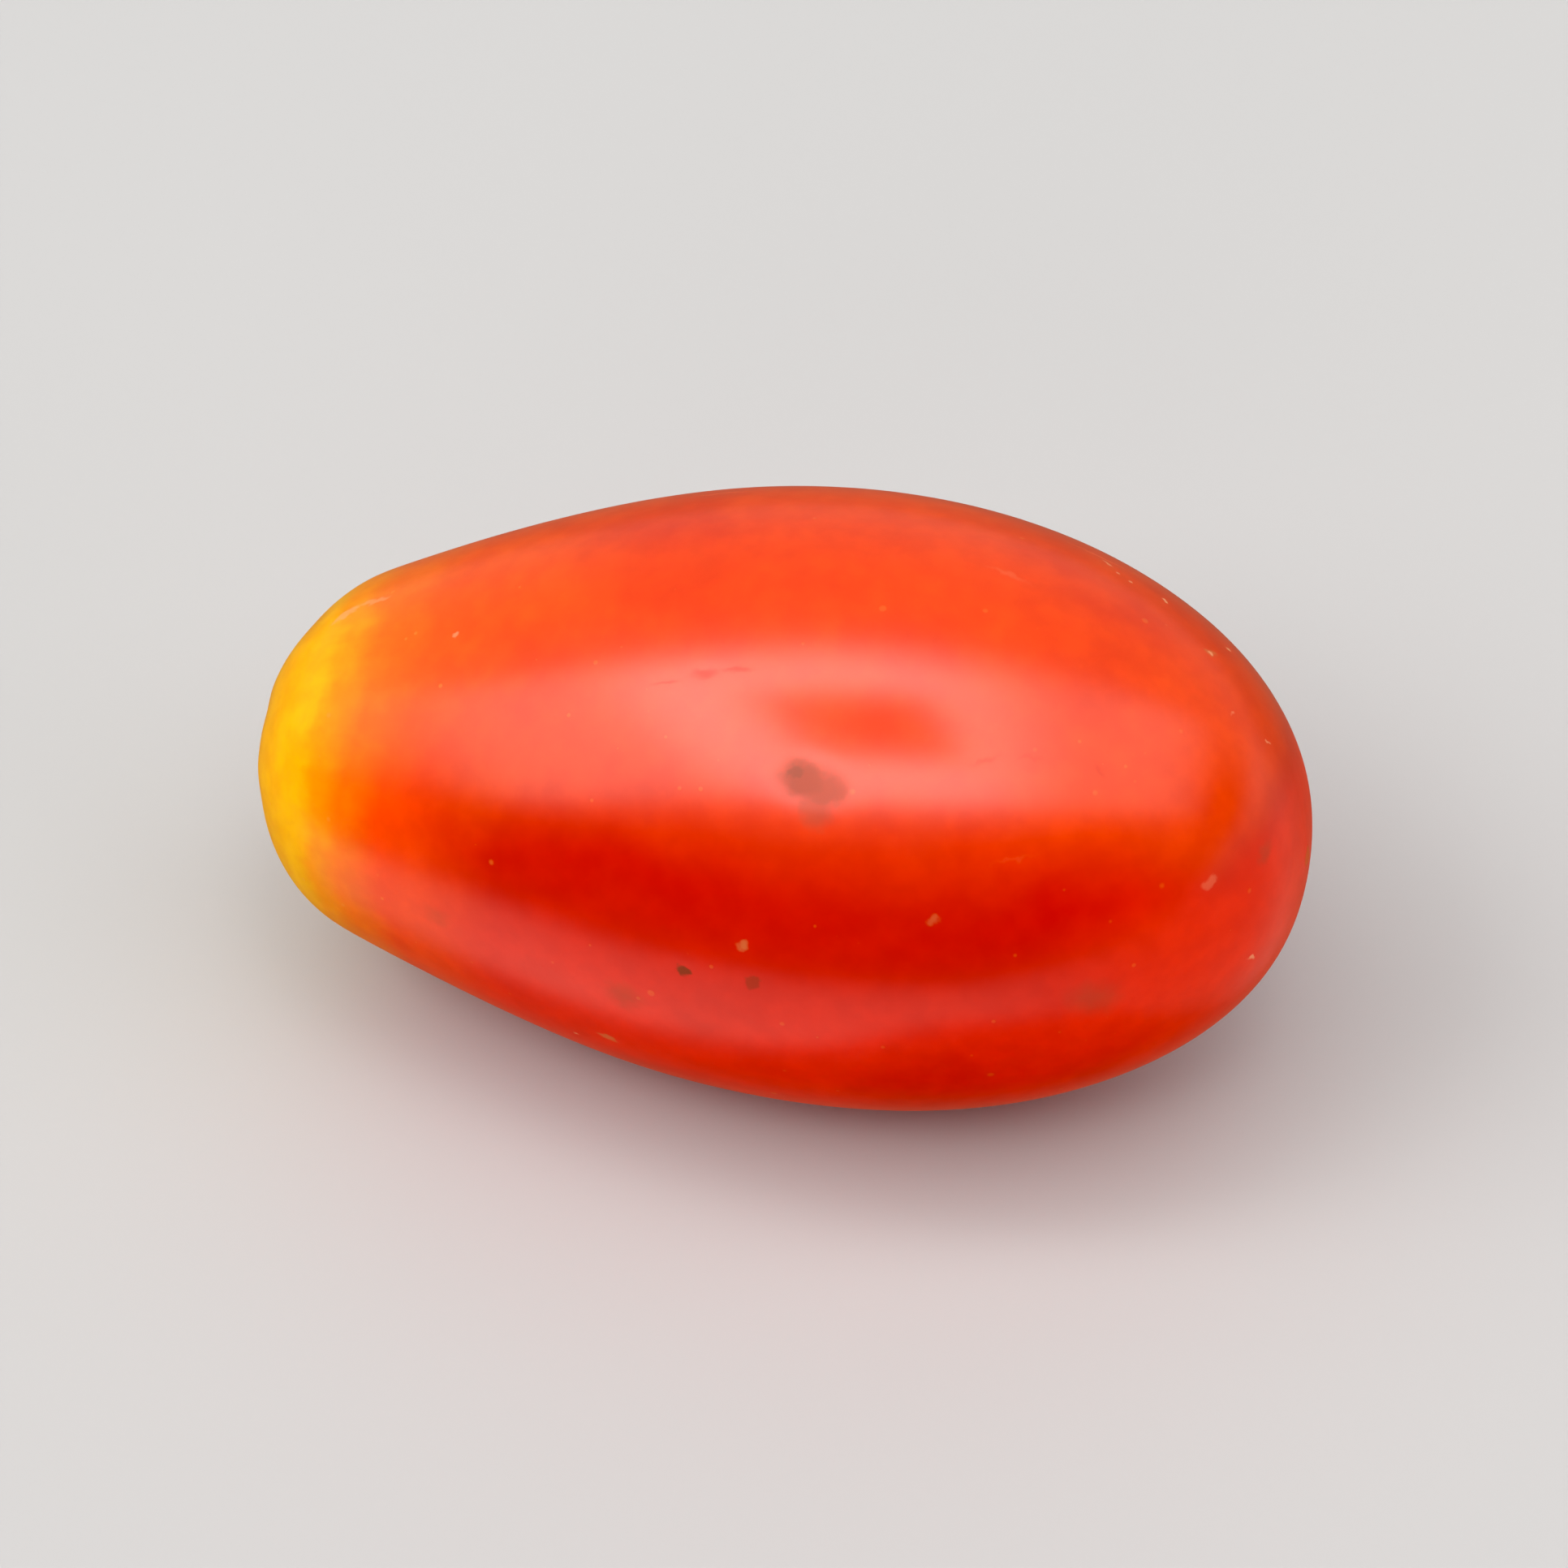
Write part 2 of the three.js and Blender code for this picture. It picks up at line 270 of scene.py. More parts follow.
class NodeBench:
    """Adds the nodes of one material or world, and joins them."""

    def __init__(self, tree: bpy.types.NodeTree) -> None:
        """Takes an empty node tree.

        Args:
            tree: The tree to fill.
        """
        self.tree = tree
        self.tree.nodes.clear()

    def add(self, kind: str, **settings: Any) -> bpy.types.Node:
        """Adds a node.

        Args:
            kind: Its type, without the ShaderNode at the front.
            **settings: Its properties.

        Returns:
            The new node.
        """
        node = self.tree.nodes.new("ShaderNode" + kind)
        for name, value in settings.items():
            setattr(node, name, value)
        return node

    def feed(self, socket: bpy.types.NodeSocket, value: Any) -> None:
        """Joins an output to an input, or sets the input to a plain value.

        Args:
            socket: The input.
            value: An output socket, a number, a vector or a colour.
        """
        if isinstance(value, bpy.types.NodeSocket):
            self.tree.links.new(value, socket)
        elif socket.type == "RGBA":
            socket.default_value = (*value, 1.0)
        else:
            socket.default_value = value

    def maths(self, operation: str, *values: Any, clamp: bool = False) -> bpy.types.NodeSocket:
        """Adds a Math node.

        Args:
            operation: What it does, such as MULTIPLY.
            *values: Its inputs.
            clamp: Whether to keep the result from 0 to 1.

        Returns:
            Its result.
        """
        node = self.add("Math", operation=operation, use_clamp=clamp)
        for socket, value in zip(node.inputs, values):
            self.feed(socket, value)
        return node.outputs[0]

    def vectors(self, operation: str, *values: Any) -> bpy.types.Node:
        """Adds a Vector Math node.

        Args:
            operation: What it does, such as ADD.
            *values: Its inputs.

        Returns:
            The node, because its result is a vector or a number.
        """
        node = self.add("VectorMath", operation=operation)
        for socket, value in zip(node.inputs, values):
            self.feed(socket, value)
        return node

    def parts(self, vector: Any) -> list[bpy.types.NodeSocket]:
        """Splits a vector.

        Args:
            vector: The vector.

        Returns:
            Its X, Y and Z.
        """
        node = self.add("SeparateXYZ")
        self.feed(node.inputs[0], vector)
        return list(node.outputs)

    def scaled(self, vector: Any, factor: float) -> bpy.types.NodeSocket:
        """Scales a vector.

        Args:
            vector: The vector.
            factor: How many times as long it becomes.

        Returns:
            The scaled vector.
        """
        node = self.vectors("SCALE", vector)
        self.feed(node.inputs["Scale"], factor)
        return node.outputs[0]

    def product(self, first: Any, *others: Any) -> Any:
        """Multiplies values.

        Args:
            first: The first value.
            *others: The others.

        Returns:
            Their product.
        """
        for value in others:
            first = self.maths("MULTIPLY", first, value)
        return first

    def between(self, share: Any, low: float, high: float) -> bpy.types.NodeSocket:
        """Goes from one number to another as a share goes from 0 to 1.

        Args:
            share: The share.
            low: The number at 0.
            high: The number at 1.

        Returns:
            The number.
        """
        return self.maths("MULTIPLY_ADD", share, high - low, low)

    def swing(self, share: Any, reach: float) -> bpy.types.NodeSocket:
        """Turns a share into a number that swings to both sides of 0.

        Args:
            share: The share.
            reach: How far it swings.

        Returns:
            A number from -reach to reach.
        """
        return self.between(share, -reach, reach)

    def eased(self, value: Any, low: float, high: float) -> bpy.types.NodeSocket:
        """Rises smoothly from 0 to 1 as a value goes from low to high, or falls if low is more.

        Args:
            value: The value to judge.
            low: Where the result is 0.
            high: Where the result is 1.

        Returns:
            A share from 0 to 1.
        """
        falls = low > high
        node = self.add("MapRange", interpolation_type="SMOOTHSTEP")
        self.feed(node.inputs["Value"], value)
        self.feed(node.inputs["From Min"], min(low, high))
        self.feed(node.inputs["From Max"], max(low, high))
        self.feed(node.inputs["To Min"], 1.0 if falls else 0.0)
        self.feed(node.inputs["To Max"], 0.0 if falls else 1.0)
        return node.outputs["Result"]

    def plateau(self, value: Any, low: Span, high: Span) -> Any:
        """Rises to 1, stays, and falls back to 0.

        Args:
            value: The value to judge.
            low: Where the rise starts and ends.
            high: Where the fall starts and ends.

        Returns:
            A share from 0 to 1.
        """
        rise = self.eased(value, *low)
        fall = self.eased(value, high[1], high[0])
        return self.maths("MULTIPLY", rise, fall)

    def cloud(self, where: Any, size: float, detail: float = 2.0, offset: float = 0.0) -> Any:
        """Adds soft noise.

        Args:
            where: The place that it is read at.
            size: How far apart its lumps are, in the place's own units.
            detail: How many finer layers it has.
            offset: A shift that makes one noise unlike another.

        Returns:
            The noise, from 0 to 1 and 0.5 on average.
        """
        shifted = self.vectors("ADD", where, (offset, 1.7 * offset, -0.6 * offset))
        node = self.add("TexNoise", noise_dimensions="3D")
        self.feed(node.inputs["Vector"], shifted.outputs[0])
        self.feed(node.inputs["Scale"], 1.0 / size)
        self.feed(node.inputs["Detail"], detail)
        return node.outputs["Fac"]

    def mixed(self, share: Any, under: Any, over: Any, blend: str = "MIX") -> Any:
        """Mixes two colours.

        Args:
            share: How much of the second shows, from 0 to 1.
            under: The first colour.
            over: The second colour.
            blend: How they are mixed, such as MULTIPLY.

        Returns:
            The mixed colour.
        """
        node = self.add("Mix", data_type="RGBA", blend_type=blend)
        self.feed(node.inputs[0], share)
        self.feed(node.inputs[6], under)
        self.feed(node.inputs[7], over)
        return node.outputs[2]

    def ramp(self, value: Any, stops: tuple[tuple[float, Colour], ...]) -> Any:
        """Turns a number into a colour.

        Args:
            value: The number, from 0 to 1.
            stops: Places on that way and the colours there.

        Returns:
            The colour.
        """
        node = self.add("ValToRGB")
        node.color_ramp.interpolation = "EASE"
        elements = node.color_ramp.elements
        while len(elements) < len(stops):
            elements.new(1.0)
        for element, (place, colour) in zip(elements, stops):
            element.position = place
            element.color = (*colour, 1.0)
        self.feed(node.inputs["Fac"], value)
        return node.outputs["Color"]


@dataclass(frozen=True)
class SkinPlace:
    """A point of the skin, as the sockets that every part of the material reads.

    Attributes:
        where: The place in the fruit's axes, in millimetres.
        along: Its distance from the stem scar, along the fruit.
        radius: Its distance from the line between the two ends.
        facing: How far it is round towards the top: -1 below, 0 at the sides and 1 above.
        streak: Faint streaks that run along the fruit, from 0 to 1.
    """

    where: Any
    along: Any
    radius: Any
    facing: Any
    streak: Any


@dataclass(frozen=True)
class EndShapes:
    """Where the stem scar and the blossom tip are, each from 0 to 1.

    Attributes:
        collar: Pale skin round the scar.
        lip: Torn skin at its edge.
        cork: The corky disc.
        grain: Light crumbs of the disc.
        tip: The dot at the blossom end.
    """

    collar: Any
    lip: Any
    cork: Any
    grain: Any
    tip: Any


@dataclass(frozen=True)
class SkinFinish:
    """The colours and the gloss of the skin, the scar and the marks.

    Distances are in millimetres. A pair gives where something starts to change and where it has
    changed: facing pairs are judged by SkinPlace.facing.

    Attributes:
        axes: The fruit's axes.
        surface: The base skin, on which the marks are placed.
        stem_yellow: Colour of the stem end.
        stem_amber: Colour after the yellow.
        stem_orange: Colour after the amber.
        painted_light_upper_orange: Colour of the upper side, after the orange, painted more orange as
            painted light.
        painted_light_upper_red: Colour of the upper side, far from the stem, painted lighter and more
            orange as painted light.
        lower_orange: Colour of the lower side, after the orange, less orange than the painted-light upper
            side.
        painted_shade_lower_red: Colour of the lower side, far from the stem, a darker red that is painted
            shade.
        painted_light_under_red: Colour of the underside, far from the stem, painted lighter than the lower
            side as painted light.
        deep_red: Colour of the riper patches.
        end_red: Colour towards the blossom end, a lighter red that covers much of the lower side's painted
            shade there.
        cork_dark: Dark crumbs of the scar.
        cork_light: Light crumbs of the scar.
        torn_skin: Torn skin round the scar.
        freckle: Small dots.
        blossom_tan: The dot at the blossom end.
        mottle_dark: What the darkest mottling multiplies the colour by.
        mottle_light: What the lightest mottling multiplies the colour by.
        mottle_share: How much of the mottling shows.
        patch_share: How much of the riper patches shows.
        end_share: How much of the blossom end's colour shows.
        colour_reach: How far from the stem scar the colours change.
        least_girth: Radius within which the skin faces neither up nor down.
        upper_facing: Facing at which the painted-light upper colours take over.
        under_facing: Facing at which the underside's painted-light colours take over.
        end_facing: Facing below which the blossom end's colour shows.
        handled_facing: Facing at which the skin is glossier.
        scar_radius: Radius of the corky disc.
        lip_radius: Radius of the torn skin.
        collar_radii: Radii over which the pale skin fades in.
        blossom_radius: Radius of the dot at the blossom end.
        collar_cover: How much of the skin the pale skin hides.
        lip_cover: How much of the skin the torn skin hides.
        lip_dulling: How dull the torn skin is.
        tip_cover: How much of the skin the dot hides.
        freckle_cover: How much of the skin a freckle hides, far from the stem and near it.
        coat_low: Coat of the lower skin.
        coat_high: Coat of the upper skin.
        coat_at_stem: Share of the coat that is left at the stem end.
        smoothest: Roughness of the smoothest upper skin.
        film: How much rougher the skin is under its uneven film.
        lower_film: How much rougher the lower skin is.
        dull_roughness: How much rougher a fully dull mark is.
    """

    axes: FruitAxes
    surface: BVHTree
    stem_yellow: Colour = (0.95, 0.44, 0.003)
    stem_amber: Colour = (0.94, 0.28, 0.003)
    stem_orange: Colour = (0.92, 0.15, 0.003)
    painted_light_upper_orange: Colour = (0.88, 0.085, 0.003)
    painted_light_upper_red: Colour = (0.84, 0.058, 0.003)
    lower_orange: Colour = (0.88, 0.055, 0.003)
    painted_shade_lower_red: Colour = (0.57, 0.0105, 0.002)
    painted_light_under_red: Colour = (0.86, 0.019, 0.003)
    deep_red: Colour = (0.56, 0.009, 0.002)
    end_red: Colour = (0.86, 0.026, 0.003)
    cork_dark: Colour = (0.06, 0.028, 0.014)
    cork_light: Colour = (0.3, 0.16, 0.08)
    torn_skin: Colour = (0.62, 0.42, 0.2)
    freckle: Colour = (0.95, 0.3, 0.04)
    blossom_tan: Colour = (0.46, 0.13, 0.045)
    mottle_dark: Colour = (0.86, 0.74, 0.8)
    mottle_light: Colour = (1.08, 1.22, 1.1)
    mottle_share: float = 0.42
    patch_share: float = 0.4
    end_share: float = 0.8
    colour_reach: float = 16.0
    least_girth: float = 6.0
    upper_facing: Span = (0.42, 0.86)
    under_facing: Span = (0.32, -0.15)
    end_facing: Span = (0.7, 0.3)
    handled_facing: Span = (0.2, 0.7)
    scar_radius: float = 1.05
    lip_radius: float = 1.3
    collar_radii: Span = (2.4, 1.2)
    blossom_radius: float = 0.5
    collar_cover: float = 0.45
    lip_cover: float = 0.9
    lip_dulling: float = 0.6
    tip_cover: float = 0.7
    freckle_cover: Span = (0.16, 0.36)
    coat_low: float = 0.42
    coat_high: float = 0.92
    coat_at_stem: float = 0.4
    smoothest: float = 0.3
    film: float = 0.12
    lower_film: float = 0.1
    dull_roughness: float = 0.45

    def read_place(self, bench: NodeBench) -> SkinPlace:
        """Works out where a point of the skin is.

        Args:
            bench: Where nodes are added.

        Returns:
            The place.
        """
        turn = self.axes.turn()
        mapping = bench.add("Mapping", vector_type="POINT")
        bench.feed(mapping.inputs["Vector"], bench.add("TexCoord").outputs["Object"])
        bench.feed(mapping.inputs["Location"], -(turn @ self.axes.stem) / MM)
        bench.feed(mapping.inputs["Rotation"], turn.to_euler())
        bench.feed(mapping.inputs["Scale"], (1.0 / MM,) * 3)
        where = mapping.outputs["Vector"]
        along, _, up = bench.parts(where)
        off_axis = bench.vectors("MULTIPLY", where, (0.0, 1.0, 1.0)).outputs[0]
        radius = bench.vectors("LENGTH", off_axis).outputs["Value"]
        girth = bench.maths("MAXIMUM", radius, self.least_girth)
        drift = bench.swing(bench.cloud(where, size=8.0, offset=23.0), reach=0.18)
        facing = bench.maths("ADD", bench.maths("DIVIDE", up, girth), drift)
        lanes, lane_change = 5.0, 0.06
        round_about = bench.scaled(bench.vectors("NORMALIZE", off_axis).outputs[0], lanes)
        slow = bench.vectors("MULTIPLY", where, (lane_change, 0.0, 0.0)).outputs[0]
        lane = bench.vectors("ADD", round_about, slow).outputs[0]
        streak = bench.cloud(lane, size=1.0, detail=3.0, offset=9.4)
        return SkinPlace(where, along, radius, facing, streak)

    def ripeness_and_painted_light(self, bench: NodeBench, place: SkinPlace) -> Any:
        """The colour from the yellow stem end to the red body, with painted light by facing: lighter and
        more orange on the upper side, a darker painted-shade red on the sides below it, and lighter
        underneath.

        Args:
            bench: Where nodes are added.
            place: Where the point of the skin is.

        Returns:
            The colour.
        """
        # Painted light by facing: the upper colours are painted lighter and more orange, the lower ones a
        # darker red as painted shade, and the underside lighter as painted light.
        upper = bench.eased(place.facing, *self.upper_facing)
        under = bench.eased(place.facing, *self.under_facing)
        wander = bench.swing(bench.cloud(place.where, size=6.0, offset=3.1), reach=1.0)
        ragged = bench.swing(place.streak, reach=0.6)
        reach = bench.maths("ADD", place.along, bench.maths("ADD", wander, ragged))
        share = bench.maths("DIVIDE", reach, self.colour_reach, clamp=True)
        stem_stops = (
            (0.0, self.stem_yellow),
            (0.13, self.stem_yellow),
            (0.2, self.stem_amber),
            (0.29, self.stem_orange),
        )
        lower_stops = stem_stops + ((0.4, self.lower_orange), (0.72, self.painted_shade_lower_red))
        under_stops = stem_stops + ((0.4, self.lower_orange), (0.72, self.painted_light_under_red))
        upper_stops = stem_stops + ((0.5, self.painted_light_upper_orange), (1.0, self.painted_light_upper_red))
        lower = bench.mixed(under, bench.ramp(share, lower_stops), bench.ramp(share, under_stops))
        return bench.mixed(upper, lower, bench.ramp(share, upper_stops))

    def flesh(self, bench: NodeBench, place: SkinPlace, colour: Any) -> Any:
        """Adds the riper patches, the blossom end's colour and the fine mottling.

        Args:
            bench: Where nodes are added.
            place: Where the point of the skin is.
            colour: The colour so far.

        Returns:
            The colour.
        """
        ripe = bench.eased(place.along, low=4.0, high=11.0)
        patches = bench.eased(bench.cloud(place.where, size=6.0, detail=3.0, offset=17.0), 0.38, 0.72)
        colour = bench.mixed(bench.product(patches, ripe, self.patch_share), colour, self.deep_red)
        length = self.axes.length
        # Towards the blossom end a lighter red covers much of the lower side's painted shade.
        far_end = bench.eased(place.along, low=length - 9.0, high=length - 2.0)
        low_side = bench.eased(place.facing, *self.end_facing)
        colour = bench.mixed(bench.product(far_end, low_side, self.end_share), colour, self.end_red)
        grain = bench.eased(bench.cloud(place.where, size=1.1, detail=4.0, offset=31.0), 0.3, 0.75)
        mottle = bench.mixed(grain, self.mottle_dark, self.mottle_light)
        return bench.mixed(self.mottle_share, colour, bench.mixed(1.0, colour, mottle, "MULTIPLY"))

    def freckles(self, bench: NodeBench, where: Any, size: float, offset: float) -> Any:
        """Scattered dots.

        Args:
            bench: Where nodes are added.
            where: The place on the fruit.
            size: How far apart the dots may be.
            offset: A shift that makes one scatter unlike another.

        Returns:
            1 in a dot and 0 beside it.
        """
        largest, kept_share = 0.13, 0.34
        shifted = bench.vectors("ADD", where, (offset, offset, offset))
        cells = bench.add("TexVoronoi", feature="F1")
        bench.feed(cells.inputs["Vector"], shifted.outputs[0])
        bench.feed(cells.inputs["Scale"], 1.0 / size)
        chance = bench.add("SeparateColor")
        bench.feed(chance.inputs[0], cells.outputs["Color"])
        radius = bench.maths("MULTIPLY", chance.outputs["Green"], largest)
        inside = bench.maths("SUBTRACT", radius, cells.outputs["Distance"])
        dot = bench.eased(inside, low=-0.02, high=0.05)
        kept = bench.maths("GREATER_THAN", chance.outputs["Red"], 1.0 - kept_share)
        return bench.maths("MULTIPLY", dot, kept)

    def mark(self, bench: NodeBench, where: Any, mark: Mark) -> Any:
        """One mark's shape on the skin.

        Args:
            bench: Where nodes are added.
            where: The place on the fruit, a little ragged.
            mark: The mark.

        Returns:
            Its strength in the mark's middle, and 0 outside.
        """
        centre, stand = mark_place(self.axes, self.surface, mark)
        node = bench.add("Mapping", vector_type="TEXTURE")
        bench.feed(node.inputs["Vector"], where)
        bench.feed(node.inputs["Location"], centre)
        bench.feed(node.inputs["Rotation"], stand.to_euler())
        bench.feed(node.inputs["Scale"], (mark.length / 2, mark.width / 2, mark.length))
        far = bench.vectors("LENGTH", node.outputs[0]).outputs["Value"]
        shape = bench.eased(far, low=1.0, high=1.0 - BLEMISH_FINISHES[mark.sort].edge)
        return bench.maths("MULTIPLY", shape, mark.strength)

    def marks(self, bench: NodeBench, where: Any) -> dict[Blemish, Any]:
        """The shapes of all marks.

        Args:
            bench: Where nodes are added.
            where: The place on the fruit.

        Returns:
            Each sort of mark and its shape, from 0 to 1.
        """
        lumps_per_mm, detail, rag = 2.2, 3.0, 0.65
        warp = bench.add("TexNoise", noise_dimensions="3D")
        bench.feed(warp.inputs["Vector"], where)
        bench.feed(warp.inputs["Scale"], lumps_per_mm)
        bench.feed(warp.inputs["Detail"], detail)
        centred = bench.vectors("SUBTRACT", warp.outputs["Color"], (0.5, 0.5, 0.5)).outputs[0]
        ragged = bench.vectors("ADD", where, bench.scaled(centred, rag)).outputs[0]
        shapes: dict[Blemish, Any] = {}
        for mark in MARKS:
            shape = self.mark(bench, ragged, mark)
            if mark.sort in shapes:
                shape = bench.maths("MAXIMUM", shapes[mark.sort], shape)
            shapes[mark.sort] = shape
        return shapes

    def ends(self, bench: NodeBench, place: SkinPlace) -> EndShapes:
        """Where the stem scar and the blossom tip are.

        Args:
            bench: Where nodes are added.
            place: Where the point of the skin is.

        Returns:
            The shapes.
        """
        wobble = bench.swing(bench.cloud(place.where, size=0.45, offset=5.2), reach=0.13)
        ragged = bench.maths("ADD", place.radius, wobble)
        length = self.axes.length
        at_stem = bench.eased(place.along, low=2.2, high=1.6)
        at_blossom = bench.eased(place.along, low=length - 1.2, high=length - 0.8)
        collar = bench.eased(place.radius, *self.collar_radii)
        lip = bench.eased(ragged, low=self.lip_radius + 0.12, high=self.lip_radius)
        cork = bench.eased(ragged, low=self.scar_radius + 0.05, high=self.scar_radius - 0.06)
        tip = bench.eased(ragged, low=self.blossom_radius, high=self.blossom_radius * 0.55)
        return EndShapes(
            collar=bench.product(collar, at_stem),
            lip=bench.product(lip, at_stem),
            cork=bench.product(cork, at_stem),
            grain=bench.eased(bench.cloud(place.where, size=0.22, detail=3.0, offset=8.8), 0.3, 0.72),
            tip=bench.product(tip, at_blossom),
        )

    def end_colours(self, bench: NodeBench, ends: EndShapes, colour: Any) -> Any:
        """Adds the colours of the stem scar and the blossom tip.

        Args:
            bench: Where nodes are added.
            ends: Their shapes.
            colour: The colour so far.

        Returns:
            The colour.
        """
        crumbs = bench.mixed(ends.grain, self.cork_dark, self.cork_light)
        colour = bench.mixed(bench.product(ends.collar, self.collar_cover), colour, self.torn_skin)
        colour = bench.mixed(bench.product(ends.lip, self.lip_cover), colour, self.torn_skin)
        colour = bench.mixed(ends.cork, colour, crumbs)
        return bench.mixed(bench.product(ends.tip, self.tip_cover), colour, self.blossom_tan)

    def sheen(self, bench: NodeBench, place: SkinPlace, dull: Any) -> tuple[Any, Any]:
        """How rough the skin is and how much of a waxy coat it has.

        Args:
            bench: Where nodes are added.
            place: Where the point of the skin is.
            dull: How dull the marks and the scar make it, from 0 to 1.

        Returns:
            The roughness and the coat's weight.
        """
        handled = bench.eased(place.facing, *self.handled_facing)
        cloudy = bench.cloud(place.where, size=3.0, detail=4.0, offset=12.0)
        film = bench.between(cloudy, self.smoothest, self.smoothest + self.film)
        film = bench.maths("ADD", film, bench.between(handled, self.lower_film, 0.0))
        roughness = bench.maths("MULTIPLY_ADD", dull, self.dull_roughness, film, clamp=True)
        past_stem = bench.eased(place.along, low=1.5, high=5.0)
        polished = bench.between(past_stem, self.coat_at_stem, 1.0)
        clean = bench.maths("SUBTRACT", 1.0, dull, clamp=True)
        coat = bench.product(clean, bench.between(handled, self.coat_low, self.coat_high), polished)
        return roughness, coat

    def fine_relief(self, bench: NodeBench, place: SkinPlace, dots: Any, ends: EndShapes) -> Any:
        """Adds relief that is too fine for the mesh.

        Args:
            bench: Where nodes are added.
            place: Where the point of the skin is.
            dots: Where the freckles are.
            ends: Where the scar is.

        Returns:
            The skin's normal.
        """
        pores = bench.cloud(place.where, size=0.4, detail=3.0, offset=2.0)
        lumps = bench.cloud(place.where, size=1.7, detail=3.0, offset=51.0)
        heights = (
            (pores, 0.003),
            (lumps, 0.014),
            (place.streak, 0.006),
            (dots, 0.006),
            (bench.product(ends.grain, ends.cork), 0.08),
        )
        raised: Any = 0.0
        for shape, height in heights:
            raised = bench.maths("MULTIPLY_ADD", shape, height, raised)
        bump = bench.add("Bump")
        bench.feed(bump.inputs["Strength"], 1.0)
        bench.feed(bump.inputs["Distance"], MM)
        bench.feed(bump.inputs["Height"], raised)
        return bump.outputs[0]

    def make(self) -> bpy.types.Material:
        """Makes the material of the skin.

        Returns:
            The material.
        """
        material = bpy.data.materials.new("tomato_skin")
        material.use_nodes = True
        bench = NodeBench(material.node_tree)
        place = self.read_place(bench)
        colour = self.flesh(bench, place, self.ripeness_and_painted_light(bench, place))
        large_dots = self.freckles(bench, place.where, size=1.25, offset=0.0)
        small_dots = self.freckles(bench, place.where, size=0.8, offset=40.0)
        dots = bench.maths("MAXIMUM", large_dots, small_dots)
        near_stem = bench.between(bench.eased(place.along, low=18.0, high=4.0), *self.freckle_cover)
        colour = bench.mixed(bench.product(dots, near_stem), colour, self.freckle)
        dull: Any = 0.0
        for sort, shape in self.marks(bench, place.where).items():
            finish = BLEMISH_FINISHES[sort]
            colour = bench.mixed(bench.product(shape, finish.cover), colour, finish.colour)
            dull = bench.maths("MAXIMUM", dull, bench.product(shape, finish.dulling))
        ends = self.ends(bench, place)
        colour = self.end_colours(bench, ends, colour)
        for shape in (ends.cork, bench.product(ends.lip, self.lip_dulling), ends.tip):
            dull = bench.maths("MAXIMUM", dull, shape)
        roughness, coat = self.sheen(bench, place, dull)
        shader = bench.add("BsdfPrincipled", subsurface_method="RANDOM_WALK")
        bench.feed(shader.inputs["Base Color"], colour)
        bench.feed(shader.inputs["Roughness"], roughness)
        bench.feed(shader.inputs["Coat Weight"], coat)
        bench.feed(shader.inputs["Normal"], self.fine_relief(bench, place, dots, ends))
        shader.inputs["IOR"].default_value = 1.42
        shader.inputs["Specular IOR Level"].default_value = 0.35
        shader.inputs["Coat Roughness"].default_value = 0.2
        shader.inputs["Coat IOR"].default_value = 1.5
        shader.inputs["Subsurface Weight"].default_value = 0.2
        shader.inputs["Subsurface Radius"].default_value = (1.0, 0.22, 0.08)
        shader.inputs["Subsurface Scale"].default_value = 1.6 * MM
        bench.feed(bench.add("OutputMaterial").inputs["Surface"], shader.outputs[0])
        return material


def round_noise(roll: float, layer: float, lumps: float) -> float:
    """Gives noise that changes round the scar and meets itself after a full turn.

    Args:
        roll: Angle round the fruit, in radians.
        layer: A shift that makes one noise unlike another.
        lumps: How fast it changes.

    Returns:
        The noise, from about -1 to 1.
    """
    return noise.noise(Vector((math.cos(roll), math.sin(roll), layer)) * lumps)


def mark_place(axes: FruitAxes, surface: BVHTree, mark: Mark) -> tuple[Vector, Matrix]:
    """Finds where a mark lies on the skin.

    Args:
        axes: The fruit's axes.
        surface: The skin.
        mark: The mark.

    Returns:
        Its centre in the fruit's axes, in millimetres, and its own axes there: X along its longer
        side, Y along its shorter side and Z out of the skin.
    """
    roll = math.radians(mark.roll)
    out = Vector((0.0, math.cos(roll), math.sin(roll)))
    inside = Vector((mark.along, 0.0, 0.0))
    start = axes.leave(inside)
    outwards = axes.leave(inside + out) - start
    hit, normal, _, _ = surface.ray_cast(start, outwards.normalized())
    up = (axes.turn() @ normal).normalized()
    if up.dot(out) < 0:
        up.negate()
    round_about = up.cross(Vector((1.0, 0.0, 0.0))).normalized()
    forward = round_about.cross(up)
    lean = Matrix.Rotation(math.radians(mark.lean), 3, up)
    stand = Matrix((lean @ forward, lean @ round_about, up)).transposed()
    return axes.enter(hit), stand


